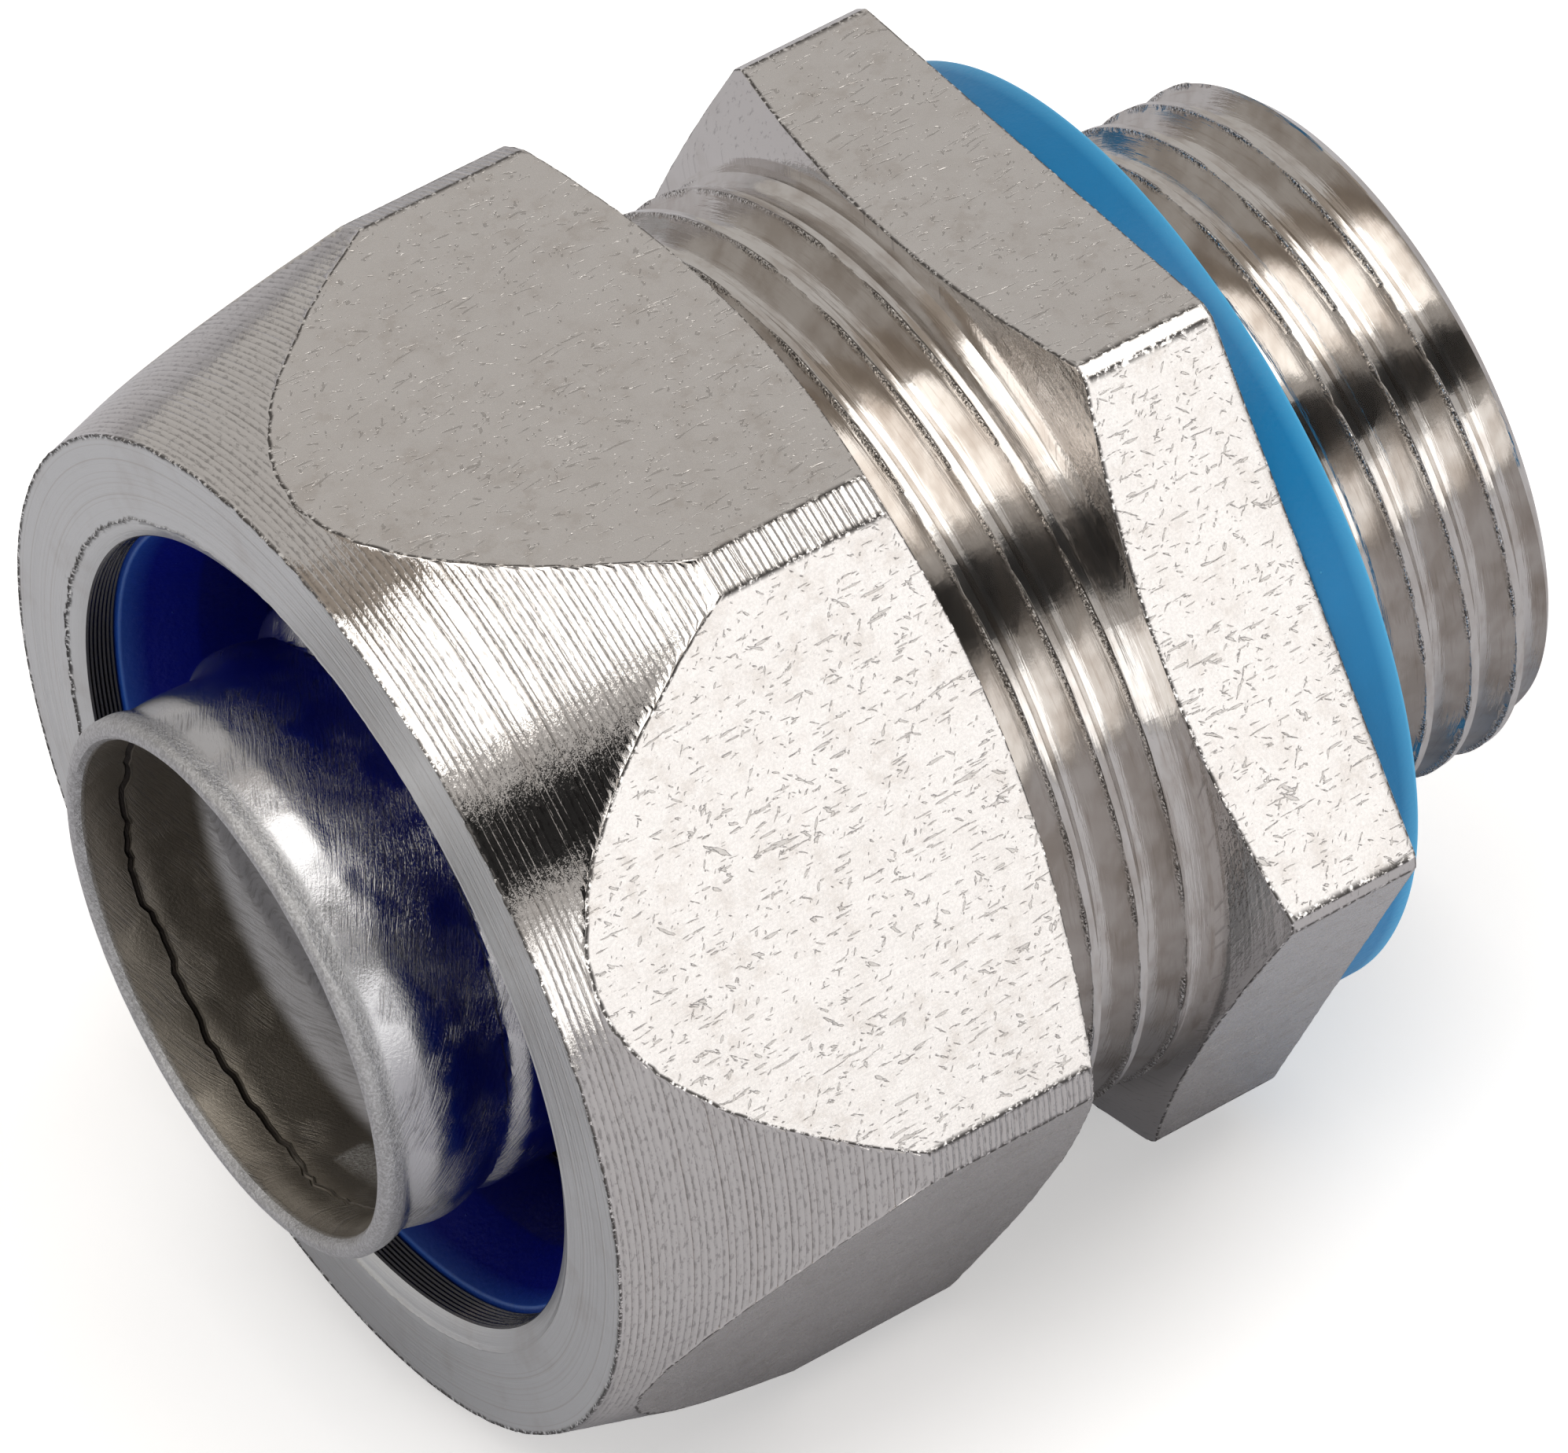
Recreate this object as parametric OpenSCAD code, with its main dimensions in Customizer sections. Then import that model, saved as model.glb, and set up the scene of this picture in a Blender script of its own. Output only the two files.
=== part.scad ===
// Straight gland for flexible metal conduit, lying along X.
// The conduit goes in at the -X end and the gland screws into a wall at the +X end.
// The origin is on the axis, in the plane of the collar's sealing face. Sizes are in millimetres.

/* [Body] */
// distance across the collar's flats
collar_across_flats = 28; // [27:0.5:30]
// diameter the collar's corners are turned down to
collar_corner_d = 32.1; // [31:0.1:33]
// thickness of the collar at the middle of a flat
collar_t = 4.9; // [4:0.1:6]
// bore the wires pass through
bore_d = 15; // [13:0.5:16]

/* [Entry thread] */
// outer diameter of the thread that goes into the wall
entry_d = 19.9; // [19.7:0.1:20]
// length from the collar to the end of the thread
entry_len = 9.1; // [8:0.1:12]

/* [Compression thread] */
// outer diameter of the thread that carries the nut
compression_d = 27; // [26.8:0.1:27]
// distance from the collar's sealing face to the nose of the body
nose_x = 17.4; // [17:0.1:18]

/* [Nut] */
// distance across the nut's flats
nut_across_flats = 30; // [29.6:0.1:31]
// diameter the nut's corners are turned down to
nut_corner_d = 34; // [33.6:0.1:34.4]
// outer diameter of the nut's mouth face
nut_face_d = 29.34; // [28:0.1:30]
// clear diameter of the nut's mouth
nut_mouth_d = 23.2; // [22.8:0.1:23.6]
// angle the nut's flats are turned past the collar's flats
nut_turn = 2; // [0:1:59]

/* [Conduit end] */
// outer diameter of the ferrule's plain tube
ferrule_d = 15; // [14.8:0.1:15.2]
// outer diameter of the ferrule's spiral rib
rib_d = 16.4; // [16:0.1:16.6]
// inner diameter of the clamping ring
ring_bore_d = 21.8; // [21.6:0.1:22.2]

/* [Gasket] */
// outer diameter of the gasket
gasket_d = 27.6; // [26:0.2:28]
// thickness of the gasket
gasket_t = 1.65; // [1:0.05:3]

/* [Hidden] */
$fn = 96;

// both threads have the same pitch
pitch = 1.5;
thread_depth = 0.95;
steps_per_turn = 30;

// places along X, with the collar's sealing face at 0
entry_start = -1.61;
collar_front = -collar_t;
nose = -nose_x;
compression_start = nose - 0.63;
nut_face = -24.5;
nut_back = -10.2;
nut_cone_end = -16.3;
seat = -12;
ferrule_tip = -27.45;

// radii
collar_r = collar_corner_d / 2;
entry_r = entry_d / 2;
compression_r = compression_d / 2;
bore_r = bore_d / 2;
seat_r = 11.3;
nut_r = nut_corner_d / 2;
nut_thread_bore_r = compression_r - 0.81;
chamber_r = 12.62;
relief_r = compression_r + 0.25;
ferrule_r = ferrule_d / 2;
ferrule_wall = 0.55;
rib_r = rib_d / 2;

// the spiral rib of the ferrule
rib_pitch = 3;
rib_steps = 36;
rib_start = -25.68;
rib_turns = 3.5;
rib_turned = 83;

steel = [0.72, 0.72, 0.71];
nickel = [0.74, 0.72, 0.69];
navy = [0.03, 0.06, 0.32];
light_blue = [0.16, 0.53, 0.75];

// A bar of constant outline bent into a screw line about Z.
// outline is a list of [radius, height] points, run the same way round as a circle is.
// hand is 1 for right-handed and -1 for left-handed.
// Over the first fade_in turns it grows out of the radius of its first point, and over the
// last fade_out turns it sinks back into it.
module screw_bar(outline, lead, start, turns, steps, hand = 1, fade_in = 0, fade_out = 0) {
    base = outline[0][0];
    n = len(outline);
    count = ceil(turns * steps);
    points = [
        for (i = [0 : count])
            let (
                angle = 360 * i / steps,
                grown = fade_in > 0 ? i / steps / fade_in : 1,
                left = fade_out > 0 ? (turns - i / steps) / fade_out : 1,
                full = max(0.05, min(1, grown, left))
            )
            for (p = outline)
                let (r = base + full * (p[0] - base)) [
                    r * cos(hand * angle),
                    r * sin(hand * angle),
                    start + lead * angle / 360 + p[1]
                ]
    ];
    sides = [
        for (i = [0 : count - 1])
            for (j = [0 : n - 1])
                let (
                    a = i * n + j,
                    b = i * n + (j + 1) % n,
                    c = a + n,
                    d = b + n
                )
                for (t = hand > 0 ? [[a, d, b], [a, c, d]] : [[a, b, d], [a, d, c]]) t
    ];
    cap_start = [for (j = [0 : n - 1]) hand > 0 ? j : n - 1 - j];
    cap_end = [for (j = [0 : n - 1]) count * n + (hand > 0 ? n - 1 - j : j)];
    polyhedron(points, concat(sides, [cap_start, cap_end]));
}

// the space between the turns of an outside thread
module outside_groove(r, start, turns, run_out = 0) {
    root = r - thread_depth;
    outline = [
        [r + 0.2, -0.43 * pitch],
        [root + 0.25, -0.22 * pitch],
        [root, -0.10 * pitch],
        [root, 0.10 * pitch],
        [root + 0.25, 0.22 * pitch],
        [r + 0.2, 0.43 * pitch]
    ];
    screw_bar(outline, pitch, start, turns, steps_per_turn, 1, 0, run_out);
}

// the space between the turns of the nut's thread
module inside_groove(start, turns) {
    outline = [
        [nut_thread_bore_r - 0.3, 0.44 * pitch],
        [compression_r + 0.15, 0.15 * pitch],
        [compression_r + 0.15, -0.15 * pitch],
        [nut_thread_bore_r - 0.3, -0.44 * pitch]
    ];
    screw_bar(outline, pitch, start, turns, steps_per_turn);
}

// a hexagonal bar from x1 to x2, with one flat up
module hex_bar(across_flats, x1, x2) {
    translate([0, 0, x1])
        rotate([0, 0, 30])
            cylinder(d = across_flats / cos(30), h = x2 - x1, $fn = 6);
}

// a solid turned about Z from [radius, height] points
module turned(outline) {
    rotate_extrude()
        polygon(outline);
}

// lays a piece drawn along Z down along X
module lay_down() {
    rotate([0, 90, 0])
        children();
}

// the body: entry thread, hexagonal collar and the nose that carries the nut
module gland_body() {
    neck_r = entry_r - thread_depth - 0.05;
    color(nickel)
        lay_down()
            difference() {
                union() {
                    difference() {
                        turned([
                            [0, nose],
                            [compression_r - 1.05, nose],
                            [compression_r, nose + 0.9],
                            [compression_r, collar_front + 0.9],
                            [0, collar_front + 0.9]
                        ]);
                        outside_groove(compression_r, compression_start, 8.7, 0.6);
                    }
                    intersection() {
                        hex_bar(collar_across_flats, collar_front, 0);
                        turned([
                            [0, collar_front],
                            [collar_across_flats / 2, collar_front],
                            [collar_r, collar_front + 0.8],
                            [collar_r, -0.12],
                            [collar_r - 0.12, 0],
                            [0, 0]
                        ]);
                    }
                    difference() {
                        turned([
                            [0, -0.5],
                            [neck_r, -0.5],
                            [neck_r, 1],
                            [entry_r, 1.5],
                            [entry_r, entry_len - 0.5],
                            [entry_r - 0.5, entry_len],
                            [0, entry_len]
                        ]);
                        outside_groove(entry_r, entry_start, ceil(entry_len / pitch) + 1.5);
                    }
                }
                turned([
                    [0, nose - 1],
                    [12.7, nose - 1],
                    [12.2, nose],
                    [seat_r, nose + 1.8],
                    [seat_r, seat],
                    [bore_r, seat],
                    [bore_r, entry_len - 0.6],
                    [bore_r + 0.6, entry_len],
                    [bore_r + 1.6, entry_len + 1],
                    [0, entry_len + 1]
                ]);
            }
}

// the nut that pushes the ring into the body
module compression_nut() {
    mouth_r = nut_mouth_d / 2;
    color(nickel)
        lay_down()
            difference() {
                intersection() {
                    rotate([0, 0, nut_turn])
                        hex_bar(nut_across_flats, nut_face, nut_back);
                    turned([
                        [0, nut_face],
                        [nut_face_d / 2 - 0.15, nut_face],
                        [nut_face_d / 2, nut_face + 0.12],
                        [nut_r, nut_cone_end],
                        [nut_r, nut_back - 0.95],
                        [nut_across_flats / 2 - 0.1, nut_back],
                        [0, nut_back]
                    ]);
                }
                turned([
                    [0, nut_face - 1],
                    [mouth_r + 1.6, nut_face - 1],
                    [mouth_r + 0.6, nut_face],
                    [mouth_r, nut_face + 0.35],
                    [mouth_r, nut_face + 1.15],
                    [chamber_r, nut_face + 1.15],
                    [chamber_r, -19.9],
                    [relief_r, -19.5],
                    [relief_r, -17.6],
                    [nut_thread_bore_r, -17],
                    [nut_thread_bore_r, nut_back - 0.9],
                    [compression_r + 0.3, nut_back],
                    [compression_r + 0.3, nut_back + 1],
                    [0, nut_back + 1]
                ]);
                inside_groove(compression_start - 0.5 * pitch, 6.6);
            }
}

// the plastic ring the nut presses onto the conduit
module clamping_ring() {
    ring_r = chamber_r - 0.1;
    front = nut_face + 1.18;
    ring_bore_r = ring_bore_d / 2;
    color(navy)
        lay_down()
            turned([
                [ring_bore_r + 0.55, front],
                [ring_r - 0.2, front],
                [ring_r, front + 0.2],
                [ring_r, -20.4],
                [11.7, -18.6],
                [ring_bore_r + 0.15, -18.6],
                [ring_bore_r, -18.9],
                [ring_bore_r, front + 2.2],
                [ring_bore_r + 0.35, front + 0.9]
            ]);
}

// the steel tube the conduit is screwed over
module ferrule() {
    inner_r = ferrule_r - ferrule_wall;
    rib = [
        [ferrule_r - 0.2, 1.35],
        [ferrule_r + 0.2, 1.2],
        [rib_r - 0.12, 0.75],
        [rib_r, 0.2],
        [rib_r, -0.2],
        [rib_r - 0.12, -0.75],
        [ferrule_r + 0.2, -1.2],
        [ferrule_r - 0.2, -1.35]
    ];
    hollow = [
        [inner_r - 0.3, 1.15],
        [inner_r + 0.15, 0.95],
        [rib_r - ferrule_wall, 0.25],
        [rib_r - ferrule_wall, -0.25],
        [inner_r + 0.15, -0.95],
        [inner_r - 0.3, -1.15]
    ];
    color(steel)
        lay_down()
            difference() {
                union() {
                    turned([
                        [inner_r, ferrule_tip + 1.2],
                        [inner_r + 0.33, ferrule_tip + 0.1],
                        [inner_r + 0.5, ferrule_tip],
                        [ferrule_r + 0.25, ferrule_tip],
                        [ferrule_r + 0.4, ferrule_tip + 0.15],
                        [ferrule_r + 0.4, ferrule_tip + 0.45],
                        [ferrule_r + 0.15, ferrule_tip + 0.9],
                        [ferrule_r, ferrule_tip + 1.2],
                        [ferrule_r, seat - 0.6],
                        [seat_r - 0.08, seat - 0.6],
                        [seat_r - 0.08, seat - 0.05],
                        [inner_r, seat - 0.05]
                    ]);
                    rotate([0, 0, rib_turned])
                        screw_bar(rib, rib_pitch, rib_start, rib_turns, rib_steps, -1, 0.4, 0.4);
                }
                rotate([0, 0, rib_turned])
                    screw_bar(hollow, rib_pitch, rib_start, rib_turns, rib_steps, -1, 0.4, 0.4);
            }
}

// the soft ring between the collar and the wall
module flat_gasket() {
    color(light_blue)
        lay_down()
            turned([
                [entry_r + 0.1, 0.02],
                [gasket_d / 2 - 0.12, 0.02],
                [gasket_d / 2, 0.14],
                [gasket_d / 2, gasket_t - 0.12],
                [gasket_d / 2 - 0.12, gasket_t],
                [entry_r + 0.1, gasket_t]
            ]);
}

gland_body();
compression_nut();
clamping_ring();
ferrule();
flat_gasket();
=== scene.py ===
"""Looks for the conduit gland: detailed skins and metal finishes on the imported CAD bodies."""

import math

import bpy
import numpy as np
from mathutils import Matrix, Vector


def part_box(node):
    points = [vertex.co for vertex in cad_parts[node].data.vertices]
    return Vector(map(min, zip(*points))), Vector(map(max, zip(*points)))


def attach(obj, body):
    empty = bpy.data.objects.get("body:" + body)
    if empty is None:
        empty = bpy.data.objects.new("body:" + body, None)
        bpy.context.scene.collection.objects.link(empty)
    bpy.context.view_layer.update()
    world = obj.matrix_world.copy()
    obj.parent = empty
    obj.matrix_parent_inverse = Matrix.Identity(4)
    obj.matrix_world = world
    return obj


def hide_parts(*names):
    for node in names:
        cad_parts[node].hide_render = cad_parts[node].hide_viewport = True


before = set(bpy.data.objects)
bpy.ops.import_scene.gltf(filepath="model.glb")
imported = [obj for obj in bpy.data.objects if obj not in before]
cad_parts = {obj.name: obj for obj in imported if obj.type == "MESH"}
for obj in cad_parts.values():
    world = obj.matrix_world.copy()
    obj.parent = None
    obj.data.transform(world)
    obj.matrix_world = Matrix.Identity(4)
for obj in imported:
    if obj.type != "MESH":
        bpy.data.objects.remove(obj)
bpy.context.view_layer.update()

MM = 0.001
PITCH = 1.5  # of both threads
TURN = 2 * math.pi
SHARP_ANGLE = math.radians(25)


def span(node):
    """Lowest and highest X of a CAD node, in millimetres."""
    low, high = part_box(node)
    return low.x / MM, high.x / MM


NUT_FACE, NUT_BACK = span("compression_nut")
NOSE, ENTRY_END = span("gland_body")
RING_FRONT, RING_TAIL = span("clamping_ring")
TIP, FLANGE_END = span("ferrule")
GASKET_FRONT, GASKET_BACK = span("flat_gasket")
COLLAR_FRONT = -4.9

# half widths across the flats, and radii of the turned-down corners
NUT_HALF, NUT_CORNER = 15.0, 17.0
COLLAR_HALF, COLLAR_CORNER = 14.0, 16.05
NUT_TURN = math.radians(2)  # the nut's flats against the collar's
NUT_FACE_R, NUT_BACK_R = 14.67, 14.9  # outer radii of the nut's two end faces
NOSE_LENGTH = 8.2
LAND_R = 11.6  # the smallest radius inside the nut's mouth
NECK_R = 8.95  # the body between its collar and its entry thread
BIG_GROOVE = NOSE - 0.63  # where a groove of the compression thread crosses the bottom
SMALL_GROOVE = -1.61  # and one of the entry thread


# ---------------------------------------------------------------- skins


def smoothstep(low, high, x):
    t = np.clip((x - low) / (high - low), 0, 1)
    return t * t * (3 - 2 * t)


def ripple(n, seed, knots, amount):
    """n values round a circle, wandering smoothly through that many random knots."""
    rng = np.random.RandomState(seed)
    values = rng.uniform(-1, 1, knots)
    at = np.arange(n) * knots / n
    i = at.astype(int)
    t = at - i
    t = t * t * (3 - 2 * t)
    return amount * (values[i % knots] * (1 - t) + values[(i + 1) % knots] * t)


def hexagon_angles(per_flat, per_strip, half, corner, turn):
    """Angles of columns round a hexagonal bar, with one on each border between a flat and a corner strip.
    Also says which columns are borders, and which lie in a strip."""
    angles, border, strip = [], [], []
    strip_half = math.radians(30) - math.acos(half / corner)
    flat_half = math.radians(30) - strip_half
    for k in range(6):
        middle = turn + k * math.radians(60)
        angles += list(middle + np.linspace(-flat_half, flat_half, per_flat, endpoint=False))
        angles += list(middle + flat_half + np.linspace(0, 2 * strip_half, per_strip, endpoint=False))
        border += [i == 0 for i in range(per_flat)] + [i == 0 for i in range(per_strip)]
        strip += [False] * per_flat + [True] * per_strip
    return np.array(angles), np.array(border, float), np.array(strip)


def hexagon_radius(angles, half, corner):
    """From the axis to the surface of a hexagonal bar whose corners are turned down."""
    off_flat = (angles + math.radians(30)) % math.radians(60) - math.radians(30)
    return np.minimum(half / np.cos(off_flat), corner)


class Skin:
    """A closed ring-shaped skin made of rows of points round the X axis, from [x, radius] in millimetres.
    Rows run in order along the outside, and back along the inside. Each row has an edge value for the
    materials, and the zone that its faces up to the next row belong to."""

    def __init__(self, angles):
        self.angles = angles
        self.n = len(angles)
        self.xs, self.rs, self.edges, self.zones, self.next_row = [], [], [], [], []
        self.zone = 0

    def row(self, x, r, edge=0.0):
        full = np.ones(self.n)
        self.xs.append(x * full)
        self.rs.append(r * full)
        self.edges.append(edge * full)
        self.zones.append(self.zone)
        self.next_row.append(len(self.next_row))

    def screw(self, radius, start, low, high, steps, reverse=False):
        """Rows that follow a screw line from x low to x high. start is a groove's middle at the first
        column, and steps are fractions of the pitch from it. radius(x, u) gives the radius and the edge
        value, u pitches from the groove's middle. After one turn a row goes on as the one a pitch along."""
        if reverse:
            steps = steps[::-1]
        turns = int(math.ceil((high - low) / PITCH)) + 4
        first = start - PITCH * math.ceil((start - low) / PITCH + 1.5)
        grow = (self.angles - self.angles[0]) / TURN * PITCH
        order = range(turns, -1, -1) if reverse else range(turns + 1)
        begin = len(self.xs)
        for m in order:
            for u in steps:
                middle = first + grow + m * PITCH
                x = np.clip(middle + u * PITCH, low, high)
                self.row(x, *radius(x, (x - middle) / PITCH))
        jump = -len(steps) if reverse else len(steps)
        total = (turns + 1) * len(steps)
        for k in range(total):
            self.next_row[begin + k] = begin + min(max(k + jump, 0), total - 1)

    def build(self, name, materials, bend=None):
        """The mesh. Points of neighbouring rows that fall together are made one."""
        x, r = np.array(self.xs), np.array(self.rs)
        rows, n = x.shape
        fresh = np.ones((rows, n), bool)
        fresh[1:] = (abs(np.diff(x, axis=0)) > 1e-5) | (abs(np.diff(r, axis=0)) > 1e-5)
        counts = fresh.sum(axis=0)
        ids = np.cumsum(fresh, axis=0) - 1 + (np.cumsum(counts) - counts)[None, :]
        angle = np.broadcast_to(self.angles, x.shape)
        points = np.zeros((int(counts.sum()), 3))
        points[ids.ravel()] = np.stack([x, -r * np.sin(angle), r * np.cos(angle)], -1).reshape(-1, 3)
        edge = np.zeros(len(points))
        edge[ids.ravel()] = np.array(self.edges).ravel()
        if bend:
            points = bend(points)
        faces, zones = [], []
        for k in range(rows):
            k2 = (k + 1) % rows
            zone = np.broadcast_to(self.zones[k], n)
            here, there = ids[k], ids[k2]
            here_next = np.append(here[1:], ids[self.next_row[k]][0])
            there_next = np.append(there[1:], ids[self.next_row[k2]][0])
            for i, (a, b, c, d) in enumerate(zip(here, here_next, there_next, there)):
                corners = [a]
                for p in (b, c, d):
                    if p != corners[-1] and p != corners[0]:
                        corners.append(p)
                if len(corners) >= 3:
                    faces.append(corners)
                    zones.append(int(zone[i]))
        mesh = bpy.data.meshes.new(name)
        mesh.from_pydata((points * MM).tolist(), [], faces)
        for material in materials:
            mesh.materials.append(material)
        mesh.polygons.foreach_set("material_index", zones)
        mesh.shade_smooth()
        mesh.set_sharp_from_angle(angle=SHARP_ANGLE)
        layer = mesh.attributes.new("edge", "FLOAT", "POINT")
        layer.data.foreach_set("value", edge)
        mesh.update()
        piece = bpy.data.objects.new(name, mesh)
        bpy.context.scene.collection.objects.link(piece)
        return piece


# ---------------------------------------------------------------- materials


class Look:
    """Builds a node material. Places and lengths are in millimetres, in the piece's own frame:
    p is the point, x runs along the axis, r is the distance from it, turn the angle and arc = turn * r."""

    def __init__(self, name):
        self.mat = bpy.data.materials.new(name)
        self.mat.use_nodes = True
        self.tree = self.mat.node_tree
        self.tree.nodes.clear()
        coord = self.node("ShaderNodeTexCoord")
        self.p = self.vec("SCALE", coord.outputs["Object"], scale=1 / MM)
        split = self.node("ShaderNodeSeparateXYZ")
        self.link(self.p, split.inputs[0])
        self.x, y, z = split.outputs
        self.r = self.math("SQRT", self.plus(self.times(y, y), self.times(z, z)))
        self.turn = self.math("ARCTAN2", self.times(y, -1.0), z)
        self.arc = self.times(self.turn, self.r)

    def node(self, kind, **props):
        made = self.tree.nodes.new(kind)
        for key, value in props.items():
            setattr(made, key, value)
        return made

    def link(self, a, b):
        if isinstance(a, (int, float)):
            b.default_value = a
        elif isinstance(a, (tuple, list)):
            b.default_value = tuple(a) + (1,) if len(b.default_value) == 4 and len(a) == 3 else a
        else:
            self.tree.links.new(a, b)

    def math(self, op, a, b=0.0, c=0.0):
        made = self.node("ShaderNodeMath", operation=op)
        for value, socket in zip((a, b, c), made.inputs):
            self.link(value, socket)
        return made.outputs[0]

    def times(self, a, b):
        return self.math("MULTIPLY", a, b)

    def plus(self, a, b):
        return self.math("ADD", a, b)

    def minus(self, a, b):
        return self.math("SUBTRACT", a, b)

    def times_plus(self, a, b, c):
        return self.math("MULTIPLY_ADD", a, b, c)

    def larger(self, a, b):
        return self.math("MAXIMUM", a, b)

    def vary(self, base, field, amount, middle=0.5):
        """The base value, raised or lowered by a noise field."""
        return self.plus(base, self.times(self.minus(field, middle), amount))

    def vec(self, op, a, b=None, scale=None):
        made = self.node("ShaderNodeVectorMath", operation=op)
        self.link(a, made.inputs[0])
        if b is not None:
            self.link(b, made.inputs[1])
        if scale is not None:
            made.inputs["Scale"].default_value = scale
        return made.outputs[0]

    def xyz(self, x, y, z=0.0):
        made = self.node("ShaderNodeCombineXYZ")
        for value, socket in zip((x, y, z), made.inputs):
            self.link(value, socket)
        return made.outputs[0]

    def sheet(self, a, fine_a, b, fine_b):
        """A vector over the surface, from two lengths and how fine a pattern is along each."""
        return self.xyz(self.times(a, fine_a), self.times(b, fine_b))

    def turned(self, vector, angle, stretch):
        """The vector turned by three angles and stretched by three factors."""
        made = self.node("ShaderNodeMapping", vector_type="TEXTURE")
        self.link(vector, made.inputs[0])
        made.inputs["Rotation"].default_value = angle
        made.inputs["Scale"].default_value = stretch
        return made.outputs[0]

    def noise(self, vector, scale, detail=2.0, rough=0.5, one=False):
        made = self.node("ShaderNodeTexNoise", noise_dimensions="1D" if one else "3D")
        self.link(vector, made.inputs["W" if one else "Vector"])
        made.inputs["Scale"].default_value = scale
        made.inputs["Detail"].default_value = detail
        made.inputs["Roughness"].default_value = rough
        return made.outputs["Fac"]

    def cells(self, vector, scale):
        made = self.node("ShaderNodeTexVoronoi")
        self.link(vector, made.inputs["Vector"])
        made.inputs["Scale"].default_value = scale
        return made.outputs["Distance"], made.outputs["Color"]

    def ramp(self, value, low, high, to_low=0.0, to_high=1.0):
        """Eases from to_low to to_high, as the value goes from low to high."""
        made = self.node("ShaderNodeMapRange", clamp=True, interpolation_type="SMOOTHSTEP")
        self.link(value, made.inputs[0])
        for i, v in enumerate((low, high, to_low, to_high)):
            self.link(v, made.inputs[i + 1])
        return made.outputs[0]

    def mix(self, factor, a, b):
        made = self.node("ShaderNodeMix", data_type="RGBA")
        self.link(factor, made.inputs[0])
        self.link(a, made.inputs[6])
        self.link(b, made.inputs[7])
        return made.outputs[2]

    def edge(self):
        return self.node("ShaderNodeAttribute", attribute_name="edge").outputs["Fac"]

    def specks(self, vector, scale, reach, share, angle, stretch):
        """Small separate dashes: one in each chosen cell of a stretched cell pattern."""
        distance, colour = self.cells(self.turned(vector, angle, stretch), scale)
        chosen = self.node("ShaderNodeSeparateColor")
        self.link(colour, chosen.inputs[0])
        on = self.math("LESS_THAN", chosen.outputs[0], share)
        size = self.times(chosen.outputs[1], reach)
        return self.times(on, self.ramp(distance, self.times(size, 0.5), size, 1, 0))

    def strongest(self, fields):
        most = fields[0]
        for field in fields[1:]:
            most = self.larger(most, field)
        return most

    def bump(self, height, depth, strength=1.0, after=None):
        """Bumps of that depth in millimetres, for a height from 0 to 1."""
        made = self.node("ShaderNodeBump")
        self.link(height, made.inputs["Height"])
        made.inputs["Strength"].default_value = strength
        made.inputs["Distance"].default_value = depth * MM
        if after is not None:
            self.link(after, made.inputs["Normal"])
        return made.outputs[0]

    def finish(self, colour, rough, metallic=1.0, normal=None, **more):
        shader = self.node("ShaderNodeBsdfPrincipled")
        self.link(colour, shader.inputs["Base Color"])
        self.link(rough, shader.inputs["Roughness"])
        self.link(metallic, shader.inputs["Metallic"])
        if normal is not None:
            self.link(normal, shader.inputs["Normal"])
        for key, value in more.items():
            self.link(value, shader.inputs[key.replace("_", " ")])
        out = self.node("ShaderNodeOutputMaterial")
        self.link(shader.outputs[0], out.inputs[0])
        return self.mat


NICKEL = (0.68, 0.655, 0.635)
STAIN = (0.36, 0.30, 0.25)
# near black: the ragged burr lines, and painted shade in the bottoms of turned grooves and in the ferrule's
# seam crack
NEAR_BLACK = (0.035, 0.03, 0.027)


def burr(k, colour, reach=0.35, fineness=6.0, share=0.46):
    """Dark ragged lines along the edges, with bright specks painted in as glints: the colour, and how
    strong the dark is.
    """
    near = k.ramp(k.edge(), reach, 0.9)
    grit = k.noise(k.p, fineness, 3, 0.7)
    dark = k.times(near, k.ramp(grit, share - 0.04, share + 0.04))
    bright = k.times(near, k.ramp(grit, share - 0.05, share - 0.10))
    colour = k.mix(k.times(dark, 0.9), colour, NEAR_BLACK)
    # painted glints: near-white specks along the edges
    return k.mix(bright, colour, (0.93, 0.91, 0.88)), dark


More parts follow.
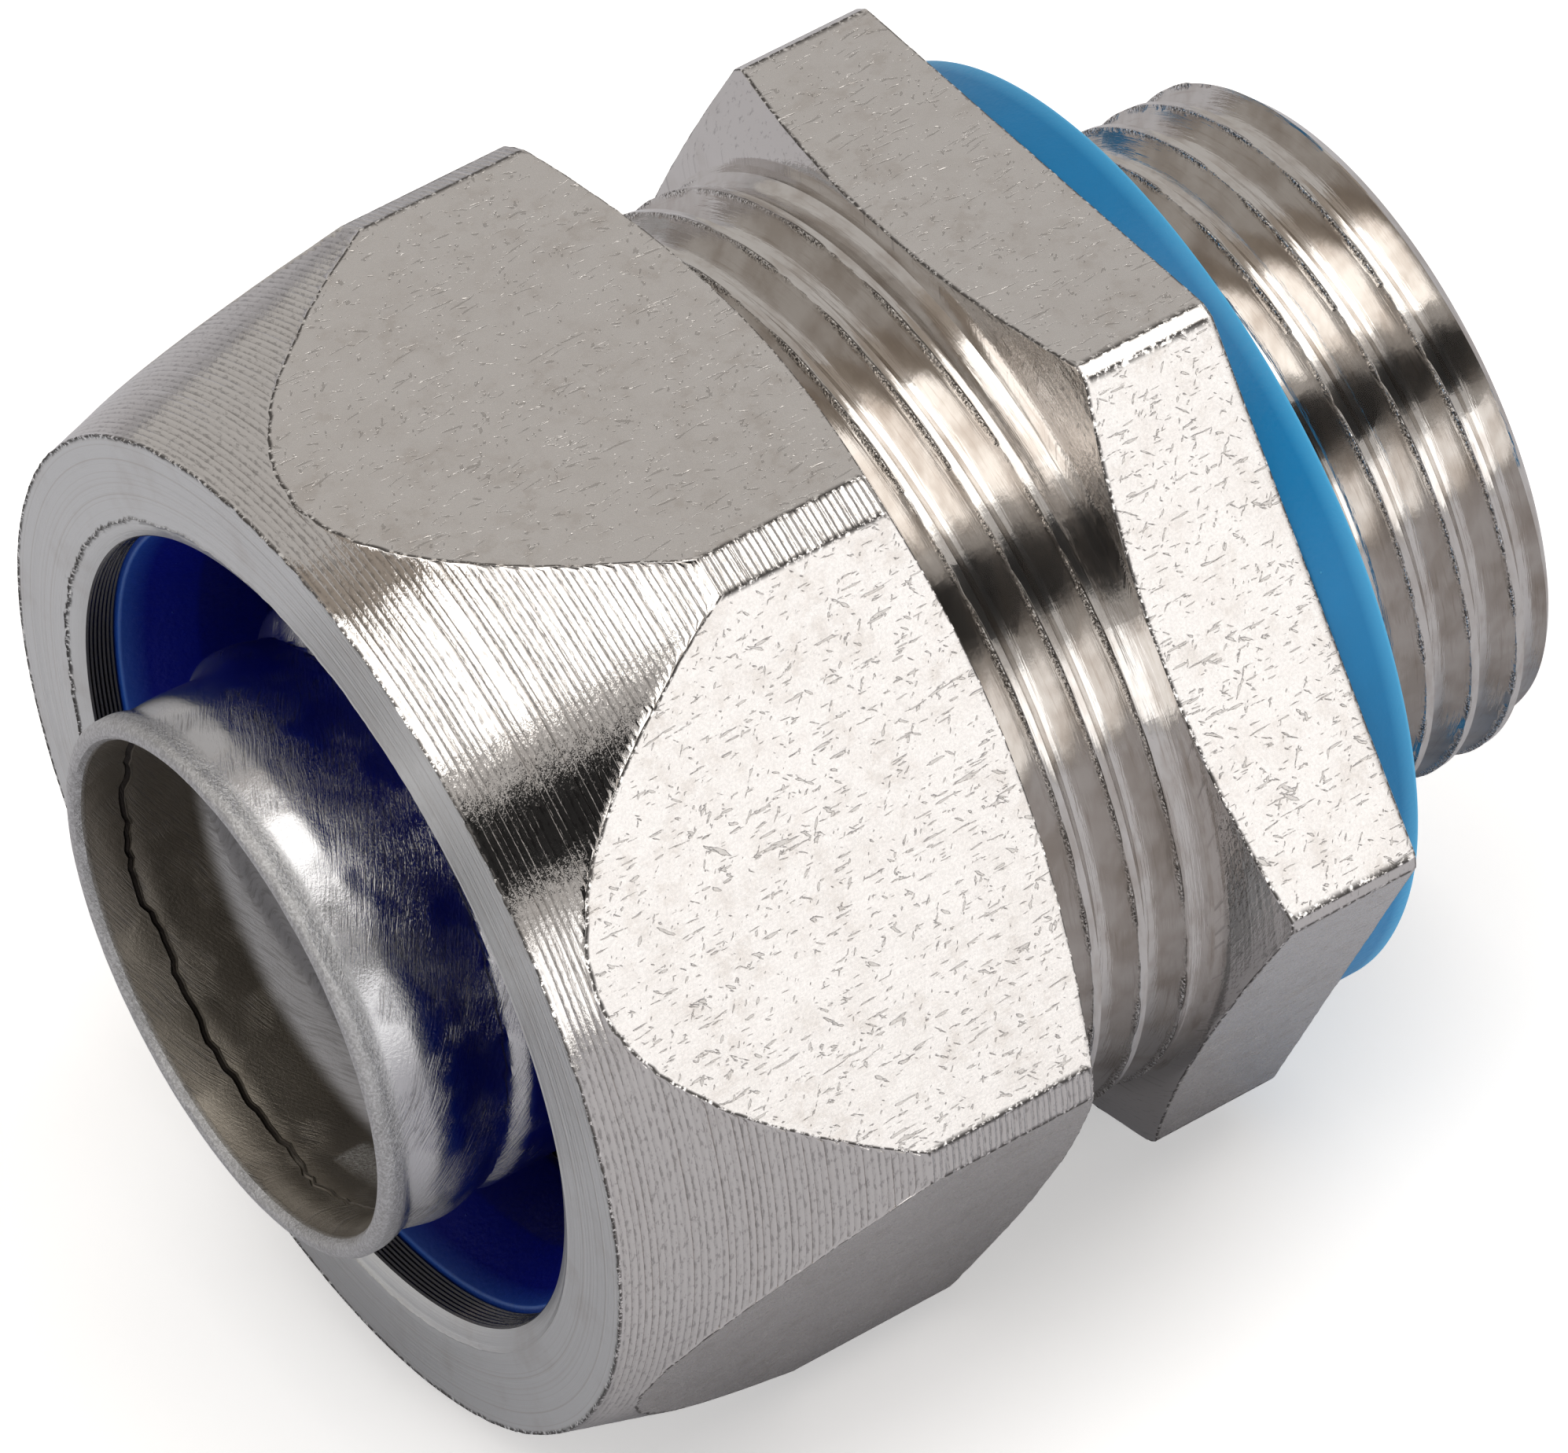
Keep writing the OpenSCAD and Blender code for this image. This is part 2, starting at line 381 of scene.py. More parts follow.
def flat_nickel(name):
    """Drawn bar stock with a plated finish: dashes, long hair scratches and faint stains."""
    k = Look(name)
    dash_layers = [  # fineness, reach, share, angles and stretch
        (8.5, 0.12, 0.17, (0.3, 0.2, 0.9), (7.0, 1, 1)),
        (10.0, 0.14, 0.20, (0.2, 1.1, 0.4), (1, 5.0, 1)),
        (12.0, 0.15, 0.20, (0.9, 0.1, 2.2), (4.0, 1, 1)),
        (7.5, 0.10, 0.15, (0.5, 0.4, 1.6), (1, 1, 8.0)),
        (4.5, 0.08, 0.18, (0.1, 0.6, 0.2), (18.0, 1, 1)),
    ]
    hair_layers = [
        ((0, 0.1, 0.15), 9.0), ((0, -0.12, -0.1), 7.0), ((1.0, -0.5, 0.9), 7.0), ((-0.3, 0.4, -0.6), 6.0),
    ]
    warped = k.vec("ADD", k.p, k.vec("SCALE", k.noise(k.p, 3.0, 2, 0.5), scale=0.25))
    patch = k.ramp(k.noise(k.p, 0.28, 3, 0.6), 0.40, 0.60, 0.12, 1.0)
    dashes = k.times(k.strongest([k.specks(warped, *layer) for layer in dash_layers]), patch)
    hair = k.strongest([
        k.ramp(k.noise(k.turned(k.p, angle, (40, 1, 1)), fineness, 2, 0.5), 0.67, 0.71)
        for angle, fineness in hair_layers
    ])
    fine = k.noise(k.p, 13, 4, 0.7)
    drawn = k.noise(k.turned(k.p, (0, 0, 0), (7, 1, 1)), 8, 3, 0.6)
    cloud = k.ramp(k.noise(k.p, 0.45, 4, 0.6), 0.40, 0.62)
    spot = k.ramp(k.noise(k.p, 1.7, 4, 0.65), 0.46, 0.62)
    colour = k.mix(k.times(k.times(cloud, spot), 0.2), NICKEL, STAIN)
    colour = k.mix(k.ramp(k.noise(k.p, 0.9, 3, 0.6), 0.40, 0.66, 0.0, 0.08), colour, STAIN)
    colour = k.mix(k.times(dashes, 0.33), colour, (0.15, 0.13, 0.12))
    colour = k.mix(k.times(hair, 0.40), colour, (0.26, 0.24, 0.22))
    colour, dark = burr(k, colour)
    height = k.times_plus(fine, 0.12, k.times(drawn, 0.12))
    height = k.minus(height, k.times(dashes, 0.07))
    height = k.minus(height, k.times(hair, 0.7))
    wave = k.bump(k.noise(k.p, 0.35, 2, 0.5), 0.04, 0.3)
    rough = k.plus(k.vary(0.27, fine, 0.3), k.times(dark, 0.3))
    return k.finish(colour, rough, normal=k.bump(height, 0.024, 1.0, wave))


def turned_nickel(name, rough=0.07, feed=0.22, depth=0.012, base=NICKEL, ridge=0.0):
    """A turned surface: fine feed marks round the axis, broken up by chatter. Where ridge isn't 0, it is
    the feed of wider marks, which the other surfaces have as geometry."""
    k = Look(name)
    wander = k.noise(k.sheet(k.x, 0.9, k.arc, 0.05), 1.0, 2, 0.5)
    fine = k.noise(k.plus(k.x, k.times(wander, 0.15)), 1.0 / (0.34 * feed), 2, 0.6, one=True)
    chatter = k.noise(k.sheet(k.x, 11.0, k.arc, 3.2), 1.0, 3, 0.7)
    streak = k.noise(k.sheet(k.x, 5.0, k.arc, 0.35), 1.0, 2, 0.5)
    height = k.times_plus(fine, 0.35, k.times(chatter, 0.8))
    bottom = k.ramp(k.edge(), 0.0, -1.0)
    if ridge:
        shaken = k.plus(k.x, k.times(k.plus(wander, streak), 0.12))
        wave = k.math("SINE", k.times(shaken, TURN / ridge))
        bottom = k.ramp(wave, -0.3, -0.95)
        height = k.times_plus(wave, 0.9, height)
    # painted shade: the groove bottoms are darkened, and the dark specks of chatter gather in them
    speck = k.ramp(k.times_plus(bottom, 0.10, chatter), 0.56, 0.68)
    colour = k.mix(k.ramp(k.noise(k.p, 0.5, 3, 0.6), 0.55, 0.8, 0.0, 0.2), base, STAIN)
    colour = k.mix(k.times(bottom, 0.14), colour, NEAR_BLACK)
    colour = k.mix(k.times(speck, 0.35), colour, NEAR_BLACK)
    colour, dark = burr(k, colour)
    rough = k.plus(k.vary(rough, streak, 0.12), k.times(dark, 0.3))
    return k.finish(colour, rough, normal=k.bump(height, depth))


def faced_nickel(name):
    """A faced end: fine rings round the axis, told apart by their radius."""
    k = Look(name)
    rings = k.noise(k.plus(k.r, k.times(k.x, 0.7)), 9, 3, 0.65, one=True)
    chatter = k.noise(k.sheet(k.r, 6.0, k.turn, 15.6), 1.0, 3, 0.65)
    grit = k.noise(k.p, 12, 3, 0.6)
    height = k.times_plus(rings, 1.1, k.times_plus(chatter, 0.6, k.times(grit, 0.3)))
    colour = k.mix(k.ramp(k.noise(k.p, 0.5, 3, 0.6), 0.5, 0.75, 0.0, 0.2), (0.67, 0.68, 0.675), STAIN)
    colour = k.mix(k.ramp(rings, 0.52, 0.72, 0.0, 0.28), colour, STAIN)
    colour, dark = burr(k, colour)
    return k.finish(colour, k.plus(0.30, k.times(dark, 0.3)), normal=k.bump(height, 0.016))


def rolled_nickel(name):
    """Polished threads with brush marks along the turns, and a rough burr on their crests."""
    k = Look(name)
    brush = k.noise(k.xyz(k.times(k.x, 9.0), k.times(k.arc, 0.5), k.times(k.r, 9.0)), 1.0, 3, 0.6)
    blotch = k.noise(k.sheet(k.x, 1.6, k.arc, 0.6), 1.0, 3, 0.6)
    grit = k.noise(k.p, 7, 3, 0.6)
    facet = k.cells(k.sheet(k.x, 0.8, k.arc, 0.45), 1.0)[0]
    colour = k.mix(k.ramp(blotch, 0.40, 0.70, 0.0, 0.45), (0.67, 0.645, 0.62), STAIN)
    colour = k.mix(k.ramp(brush, 0.55, 0.75, 0.0, 0.35), colour, STAIN)
    colour, dark = burr(k, colour, 0.4, 15.0, 0.52)
    height = k.times_plus(brush, 0.9, k.times(grit, 0.12))
    height = k.times_plus(facet, 1.4, height)
    height = k.plus(height, k.times(grit, k.ramp(k.edge(), 0.4, 0.9, 0.0, 5.0)))
    rough = k.plus(k.vary(0.10, blotch, 0.25, 0.4), k.times(dark, 0.25))
    return k.finish(colour, rough, normal=k.bump(height, 0.012))


def lit_inside(k, colour, drawn):
    """The part of the ferrule's inner wall that catches the light: its colour, and how metallic it is."""
    low = k.math("COSINE", k.plus(k.turn, 2.5))
    behind_lip = k.ramp(k.x, NUT_FACE + 0.4, NUT_FACE + 1.0)
    before_dark = k.ramp(k.x, NUT_FACE + 6.5, NUT_FACE + 4.5)
    lit = k.times(k.ramp(low, 0.35, 0.75), k.times(behind_lip, before_dark))
    pale = k.mix(k.ramp(drawn, 0.45, 0.65, 0.0, 0.5), (0.80, 0.80, 0.84), (0.35, 0.34, 0.35))
    return k.mix(lit, colour, pale), k.minus(1.0, k.times(lit, 0.8))


def zinc_steel(name, inside=False):
    """Swaged steel tube, zinc plated: frosted where the edge value is 1, and drawn scratches elsewhere.
    A negative edge value is the seam's crack, whose dark is painted shade."""
    k = Look(name)
    grain = k.noise(k.p, 11, 4, 0.7)
    bent = k.xyz(k.times_plus(k.noise(k.p, 0.35, 2, 0.5), 0.7, k.x), k.arc)
    drawn = k.noise(k.turned(bent, (0, 0, 0.5), (0.16, 3.0, 1)), 2.2, 4, 0.7)
    worn = k.ramp(k.noise(k.p, 0.5, 2, 0.5), 0.42, 0.6)
    cloud = k.noise(k.xyz(k.x, k.times(k.arc, 0.4)), 0.7, 3, 0.6)
    frost = k.edge()
    marks = k.times(k.ramp(drawn, 0.54, 0.60), worn)
    if inside:
        base, shade, rough = (0.26, 0.235, 0.20), (0.20, 0.175, 0.14), 0.42
    else:
        base, shade, rough = (0.60, 0.60, 0.615), (0.36, 0.36, 0.37), 0.17
    frosted = k.mix(k.ramp(grain, 0.40, 0.62), (0.36, 0.355, 0.35), (0.68, 0.68, 0.68))
    colour = k.mix(k.ramp(cloud, 0.4, 0.75, 0.0, 0.35), base, shade)
    colour = k.mix(k.times(marks, 0.5), colour, (0.16, 0.15, 0.15))
    colour = k.mix(k.times(frost, 0.6), colour, frosted)
    # painted shade: the crack is near black
    colour = k.mix(k.ramp(frost, 0.0, -0.8), colour, NEAR_BLACK)
    metallic = 1.0
    if inside:
        colour, metallic = lit_inside(k, colour, drawn)
    height = k.times(grain, k.times_plus(frost, 1.6, 0.6))
    height = k.minus(height, k.times(drawn, k.times_plus(worn, 1.3, 0.4)))
    rough = k.plus(rough, k.times(k.larger(frost, 0.0), 0.22))
    rough = k.plus(k.vary(rough, cloud, 0.25), k.times(marks, 0.08))
    return k.finish(colour, rough, metallic, k.bump(height, 0.02))


def moulded(name, colour, pale, rough, gloss):
    """Moulded plastic or rubber with a faint skin and dust, and edges painted paler as a highlight."""
    k = Look(name)
    skin = k.noise(k.p, 5, 3, 0.6)
    dust = k.specks(k.p, 2.3, 0.12, 0.25, (0.3, 0.2, 0.8), (1.3, 1, 1))
    cloud = k.ramp(k.noise(k.p, 0.6, 3, 0.6), 0.3, 0.75, 0.0, 0.25)
    shade = k.mix(cloud, colour, tuple(c * 0.8 for c in colour))
    shade = k.mix(k.times(dust, 0.35), shade, pale)
    # painted highlight: the rounded edges are paler
    shade = k.mix(k.edge(), shade, pale)
    normal = k.bump(k.plus(skin, dust), 0.02, 0.7)
    return k.finish(shade, k.vary(rough, skin, 0.25), 0.0, normal, Specular_IOR_Level=gloss)


# the zones of the body and the nut, in the order of their materials
CONE, FLAT, FACE, THREAD, INSIDE, STRIP, LAND = range(7)
nickel = [
    turned_nickel("nickel_turned"),
    flat_nickel("nickel_flat"),
    faced_nickel("nickel_faced"),
    rolled_nickel("nickel_thread"),
    turned_nickel("nickel_bored", 0.2, 0.3, 0.03, (0.42, 0.40, 0.38)),
    turned_nickel("nickel_strip", 0.14, 0.22, 0.02, ridge=0.19),
    # the land's near-black colour is painted shade inside the nut's mouth
    turned_nickel("nickel_land", 0.12, 0.1, 0.02, (0.045, 0.045, 0.05)),
]


# ---------------------------------------------------------------- nut

# Steps across one pitch of an outside thread, as fractions of the pitch from a groove's middle.
# They are close together at the two edges of the crest, where the surface turns sharply.
OUTSIDE_STEPS = [
    -0.5, -0.44, -0.41, -0.39, -0.36, -0.30, -0.22, -0.13, -0.04,
    0.04, 0.13, 0.22, 0.30, 0.36, 0.39, 0.41, 0.45,
]
INSIDE_STEPS = [-0.42, -0.3, -0.14, 0.14, 0.3, 0.42]


def groove_at(first, angles):
    """X of a thread's groove at the first column, from where the groove is at the bottom."""
    return first + PITCH * ((angles[0] / TURN + 0.5) % 1)


def nose_grooves(s, cone, front):
    """The feed marks of the turned nose, each one a sharp groove that rises to a ridge.
    They stop where the flats begin, at front."""
    rng = np.random.RandomState(11)
    lumps = ripple(s.n, 6, 160, 0.003)
    stop = front - 0.05
    x = NUT_FACE + 0.16
    while x < NUT_FACE + NOSE_LENGTH:
        width = rng.uniform(0.172, 0.196)
        depth = rng.uniform(0.022, 0.044)
        drift = ripple(s.n, rng.randint(9999), 240, 0.004)
        for part, level in ((0.0, 1.0), (0.38, 0.25), (0.72, 0.0)):
            free = x + part * width < stop
            at = np.minimum(x + part * width, stop)
            # a negative edge value marks the groove's bottom, which the turned finish darkens as painted
            # shade
            lower = np.where(free, depth * level - (drift + lumps) * (1 - level), 0)
            s.row(at, cone(at) - lower, np.where(free, -level, 0))
        x += width


def nut_flats(s, cone, front, outline, border, in_strip, ragged):
    """The six flats and the corner strips between them, then the chamfer and the back face."""
    burred = np.where(in_strip & (border == 0), 0.0, 1.0)
    s.row(front - 0.04, cone(front - 0.04) + 0.004, 0.65 * burred)
    s.zone = np.where(in_strip, STRIP, FLAT)
    s.row(front, np.minimum(cone(front), outline) + 0.004, burred)
    s.row(front + 0.09, outline, 0.55 * burred)
    back = NUT_BACK - 0.95 * (outline - NUT_BACK_R) / (NUT_CORNER - NUT_BACK_R)
    first, last = front + 0.16, back - 0.16
    for t in np.linspace(0, 1, 7):
        s.row(first + (last - first) * t, outline, border * 0.9)
    s.row(back - 0.04, outline, 0.5)
    s.zone = CONE
    s.row(back, outline - 0.006 + ragged * 0.5, 1.0)
    s.row(back + 0.05, outline - 0.11, 0.4)
    s.row(NUT_BACK - 0.05, NUT_BACK_R + 0.05)
    s.zone = FACE
    s.row(NUT_BACK, NUT_BACK_R - 0.06, 0.5)
    s.row(NUT_BACK, 14.4)
    s.row(NUT_BACK, 13.9)


def nut_inside(s):
    """The thread, the undercut behind it, the ring's bore and its shoulder, and the grooved land."""
    crest, root, relief, ring_bore = 12.69, 13.62, 13.75, 12.62
    thread_front, undercut, shoulder = -17.6, -19.5, NUT_FACE + 1.15
    mouth_x, mouth_r = NUT_BACK - 0.06, 13.78

    def radius(x, u):
        wave = 1 - smoothstep(0.14, 0.44, abs(((u + 0.5) % 1) - 0.5))
        flare = np.maximum(crest, mouth_r - (mouth_x - x) * 1.2)
        flare = np.maximum(flare, crest + np.clip((-17.0 - x) * 1.77, 0, relief - crest))
        return np.maximum(crest + (root - crest) * wave, flare), np.zeros(s.n)

    s.zone = INSIDE
    s.row(mouth_x, mouth_r, 0.4)
    s.zone = THREAD
    ridge = groove_at(BIG_GROOVE, s.angles) + 0.5 * PITCH
    s.screw(radius, ridge, thread_front, mouth_x, INSIDE_STEPS, reverse=True)
    s.zone = INSIDE
    s.row(thread_front, relief)
    s.row(undercut, relief)
    s.row(undercut - 0.4, ring_bore)
    for t in np.linspace(0.05, 0.95, 6):
        s.row(undercut - 0.4 + (shoulder - undercut + 0.4) * t, ring_bore)
    s.row(shoulder, ring_bore)
    s.row(shoulder, LAND_R + 0.12)
    s.zone = LAND
    for i in range(6):
        at = shoulder - 0.05 - i * 0.13
        s.row(at, LAND_R)
        s.row(at - 0.05, LAND_R + 0.035)
        s.row(at - 0.09, LAND_R + 0.03)
    s.row(NUT_FACE + 0.33, LAND_R, 0.3)


def nut_mouth(s):
    """The chamfer of the mouth, a torn burr round it, and the faced end with its faint rings."""
    wander = ripple(s.n, 21, 90, 0.07) + ripple(s.n, 22, s.n, 0.06)
    burr_r = 12.2
    lip = burr_r + wander * (0.5 + 0.5 * np.cos(s.angles + 1.66))
    torn = 0.5 + 0.5 * np.cos(s.angles + math.radians(95))
    s.zone = FACE
    s.row(NUT_FACE + 0.27, LAND_R + 0.05, 0.4)
    s.row(NUT_FACE + 0.10, 12.0)
    s.row(NUT_FACE + 0.05, lip - 0.07, 0.7 * torn)
    s.row(NUT_FACE - 0.02 * torn, lip, torn)
    s.row(NUT_FACE + 0.015, lip + 0.06, 0.7 * torn)
    s.row(NUT_FACE + 0.005, lip + 0.14)
    for t in np.linspace(0.12, 0.94, 10):
        s.row(NUT_FACE + 0.012 * math.sin(40 * t), burr_r + (NUT_FACE_R - 0.2 - burr_r) * t)


def make_nut():
    angles, border, in_strip = hexagon_angles(68, 4, NUT_HALF, NUT_CORNER, NUT_TURN)
    s = Skin(angles)
    outline = hexagon_radius(angles - NUT_TURN, NUT_HALF, NUT_CORNER)
    slope = (NUT_CORNER - NUT_FACE_R) / NOSE_LENGTH
    jag = ripple(s.n, 3, 200, 0.05) + ripple(s.n, 4, s.n, 0.035)
    jag = np.where(outline > NUT_CORNER - 1e-6, 0, jag)
    ragged = ripple(s.n, 5, s.n, 0.03) + ripple(s.n, 7, 90, 0.02)
    front = NUT_FACE + (outline - NUT_FACE_R) / slope + jag

    def cone(x):
        return NUT_FACE_R + (x - NUT_FACE) * slope

    s.zone = FACE
    s.row(NUT_FACE, NUT_FACE_R - 0.22)
    s.row(NUT_FACE + 0.01, NUT_FACE_R - 0.08 + ragged, 0.7)
    s.zone = CONE
    s.row(NUT_FACE - 0.01 + ragged * 0.5, NUT_FACE_R - 0.01 + ragged, 1.0)
    s.row(NUT_FACE + 0.07, cone(NUT_FACE + 0.07) - 0.005, 0.6)
    nose_grooves(s, cone, front)
    nut_flats(s, cone, front, outline, border, in_strip, ragged)
    nut_inside(s)
    nut_mouth(s)
    return s.build("nut_skin", nickel)


# ---------------------------------------------------------------- body


def thread_depth(u):
    """How far below the crest an outside thread is, at u pitches from a groove's middle."""
    away = abs(((u + 0.5) % 1) - 0.5)
    return 0.9 * np.clip(1 - (away / 0.40) ** 2.2, 0, 1)


def crest_edge(u):
    """1 on the crest edge that faces the conduit end, where the rolled burr is."""
    away = ((u + 0.5) % 1) - 0.5
    return np.exp(-(((away - 0.41) / 0.055) ** 2))


def turned_down(r, edge, limit, crest):
    """A thread's radius and burr, where a turned taper of radius limit cuts into its crest."""
    cut = limit < crest - 0.01
    return np.where(cut, np.minimum(r, limit), r), np.where(cut, 0, edge)


def compression_thread(s, rough_crest):
    """The larger thread, with a taper at the body's mouth and a groove that runs out before the collar."""
    crest, mouth_r = 13.5, 12.45
    run_out = 0.6 * PITCH

    def radius(x, u):
        groove = x - (((u + 0.5) % 1) - 0.5) * PITCH
        left = np.clip((BIG_GROOVE + 8.7 * PITCH - groove) / run_out, 0, 1)
        edge = crest_edge(u) * rough_crest
        taper = mouth_r + np.clip((x - NOSE) / 0.9, 0, 1) * (crest - mouth_r)
        return turned_down(crest - thread_depth(u) * left + edge * 0.035, edge, taper, crest)

    s.zone = THREAD
    s.screw(radius, groove_at(BIG_GROOVE, s.angles), NOSE, COLLAR_FRONT, OUTSIDE_STEPS)


def collar(s, border, in_strip, ragged):
    """The hexagonal collar: its cut-back corners in front, the flats, and the sealing face."""
    outline = hexagon_radius(s.angles, COLLAR_HALF, COLLAR_CORNER)

    def cut_back(r):
        return COLLAR_FRONT + 0.8 * np.maximum(0, (r - COLLAR_HALF) / (COLLAR_CORNER - COLLAR_HALF))

    s.zone = CONE
    s.row(COLLAR_FRONT, 13.62)
    for r in (13.8, 14.0, 14.25, 14.5, 14.75, 15.0, 15.25, 15.5, 15.75, 15.95):
        at = np.minimum(r, outline - 0.06)
        s.row(cut_back(at), at + np.where(at < r, 0, 0.012 * math.sin(9 * r)))
    s.row(cut_back(outline - 0.03), outline - 0.03 + ragged * 0.4, 0.6)
    s.zone = np.where(in_strip, CONE, FLAT)
    front, back = cut_back(outline), -0.3
    s.row(front + 0.01 + ragged, outline - 0.003 + ragged * 0.3, 1.0)
    s.row(front + 0.09, outline, 0.55)
    for t in np.linspace(0, 1, 5):
        s.row(front + 0.2 + (back - front - 0.2) * t, outline, border * 0.9)
    s.row(-0.14, outline, 0.3)
    s.row(-0.05, outline - 0.03 + ragged * 0.3, 0.9)
    s.zone = FACE
    s.row(0.0, outline - 0.12, 0.5)
    for r in (13.2, 12.4, 11.6, 10.8, 10.0, 9.4):
        s.row(0.0, r)
    s.row(0.0, NECK_R)


def entry_thread(s, rough_crest):
    """The smaller thread, with a neck next to the collar and a chamfer at its end."""
    crest, chamfer, neck_length, neck_taper = 9.95, 0.5, 1.0, 0.5

    def radius(x, u):
        edge = crest_edge(u) * rough_crest
        end = crest - np.clip((x - ENTRY_END + chamfer) / chamfer, 0, 1) * chamfer
        neck = NECK_R + np.clip((x - neck_length) / neck_taper, 0, 1) * (crest - NECK_R)
        return turned_down(crest - thread_depth(u) + edge * 0.025, edge, np.minimum(end, neck), crest)

    s.zone = THREAD
    s.screw(radius, groove_at(SMALL_GROOVE, s.angles), 0.05, ENTRY_END, OUTSIDE_STEPS)


def body_inside(s):
    """The entry's end face, the bore, the ferrule's seat and the tapered mouth that takes the ring."""
    bore, seat_end, seat_r = 7.5, -12.0, 11.3
    s.zone = FACE
    s.row(ENTRY_END, 9.3, 0.6)
    for r in (9.0, 8.6, 8.25):
        s.row(ENTRY_END, r)
    s.zone = INSIDE
    s.row(ENTRY_END - 0.02, 8.1, 0.6)
    s.row(ENTRY_END - 0.6, bore + 0.02)
    for x in np.linspace(ENTRY_END - 0.75, seat_end + 0.1, 16):
        s.row(x, bore)
    s.row(seat_end, bore + 0.05)
    s.row(seat_end, seat_r - 0.05)
    s.row(seat_end + 0.01, seat_r)
    s.row(NOSE + 1.8, seat_r)
    s.row(NOSE + 0.05, 12.18)


def make_body():
    angles, border, in_strip = hexagon_angles(47, 3, COLLAR_HALF, COLLAR_CORNER, 0.0)
    s = Skin(angles)
    ragged = ripple(s.n, 31, s.n, 0.03)
    rough_crest = np.clip(0.85 + ripple(s.n, 32, s.n, 0.15) + ripple(s.n, 33, 70, 0.35), 0.3, 1)
    s.zone = FACE
    s.row(NOSE, 12.22)
    s.row(NOSE, 12.4)
    compression_thread(s, rough_crest)
    collar(s, border, in_strip, ragged)
    entry_thread(s, rough_crest)
    body_inside(s)
    return s.build("body_skin", nickel)


# ---------------------------------------------------------------- ferrule

# Lengths along the ferrule are from the nut's face, and positive ones are inside the nut.
OUTER, INNER = range(2)  # its zones, in the order of its materials
RIB_PITCH = 3.9
FERRULE_BORE = 7.0
WALL = 0.56


def rib_turn(phi):
    """Degrees along the spiral rib from where it starts."""
    return (175 - phi) % 360


def rib_groove(total):
    """Where the groove behind the rib is, after that many degrees along it."""
    return 0.217 + RIB_PITCH * total / 360


def rib_coil(n, x, phi, neck):
    """Radius of the nth coil of the rib, and where that coil is. The first one starts at nothing behind
    the lip and widens."""
    total = rib_turn(phi) + 360 * n
    groove = rib_groove(total)
    wide = smoothstep(320, 400, total)
    first = -2.05 + 2.3 * smoothstep(165, 225, total) + 1.65 * smoothstep(225, 360, total)
    width = (groove - first) * (1 - wide) + RIB_PITCH * wide
    crest = 8.14 - 0.3 * smoothstep(330, 400, total) + 0.56 * smoothstep(440, 530, total)
    amount = smoothstep(0, 70, total) * (1 - smoothstep(9.2, 10.4, x))
    rise = 1.6 - 0.65 * smoothstep(165, 240, total) - 0.2 * wide
    at = x - (groove - width)
    up = smoothstep(0, 1, at / rise)
    fall = 1 - 0.42 * smoothstep(0, 1, (at - width + 1.1) / 1.1) ** 1.6
    return neck + (crest - neck) * amount * up * fall, (at > 0) & (at < width)


def ferrule_outside(x, phi):
    """Outer radius of the ferrule. phi is the angle in degrees."""
    neck = 7.57 - 0.05 * smoothstep(-2.0, -1.0, x)
    r = np.maximum(neck, 7.9 - 0.33 * smoothstep(-2.4, -1.1, x))
    turn = rib_turn(phi)
    for n in range(4):
        coil, inside = rib_coil(n, x, phi, neck)
        if n == 0:
            groove = rib_groove(turn)
            lead_in = smoothstep(25, 90, turn) * (1 - smoothstep(190, 235, turn))
            shoulder = 7.89 + 0.24 * smoothstep(-2.6, -1.3, x) - 0.5 * smoothstep(-1.5, groove, x)
            coil = coil + (shoulder - coil) * lead_in
            inside = inside | ((x < groove) & (x > -2.6) & (lead_in > 0))
        r = np.where(inside, np.maximum(r, coil), r)
    return r


def lean(points):
    """The ferrule stands loosely in its seat, so its tip sags a little."""
    seat, length = -12.3, 15.1
    out = points.copy()
    share = np.clip((seat - points[:, 0]) / length, 0, 1)
    out[:, 1] -= 0.15 * share
    out[:, 2] -= 0.13 * share
    return out


def ferrule_lip(s, rim):
    """The rolled lip, from its inner edge round its tip to the outside."""
    s.zone = OUTER
    s.row(TIP + 0.06, 7.42, 1.0)
    s.row(TIP + 0.005 + rim * 0.4, 7.52, 1.0)
    s.row(TIP + rim * 0.4, 7.62, 1.0)
    s.row(TIP + 0.03 + rim * 0.4, 7.74, 1.0)
    s.row(TIP + 0.10, 7.83 + rim, 1.0)
    s.row(TIP + 0.20, 7.885 + rim, 0.9)


def ferrule_flange(s):
    flange_r = 11.22
    s.row(FLANGE_END - 0.56, 7.6)
    s.row(FLANGE_END - 0.55, flange_r - 0.08)
    s.row(FLANGE_END - 0.48, flange_r)
    s.row(FLANGE_END - 0.06, flange_r)
    s.row(FLANGE_END, flange_r - 0.07)
    s.row(FLANGE_END, FERRULE_BORE + 0.1)
    s.row(FLANGE_END - 0.08, FERRULE_BORE - 0.02)


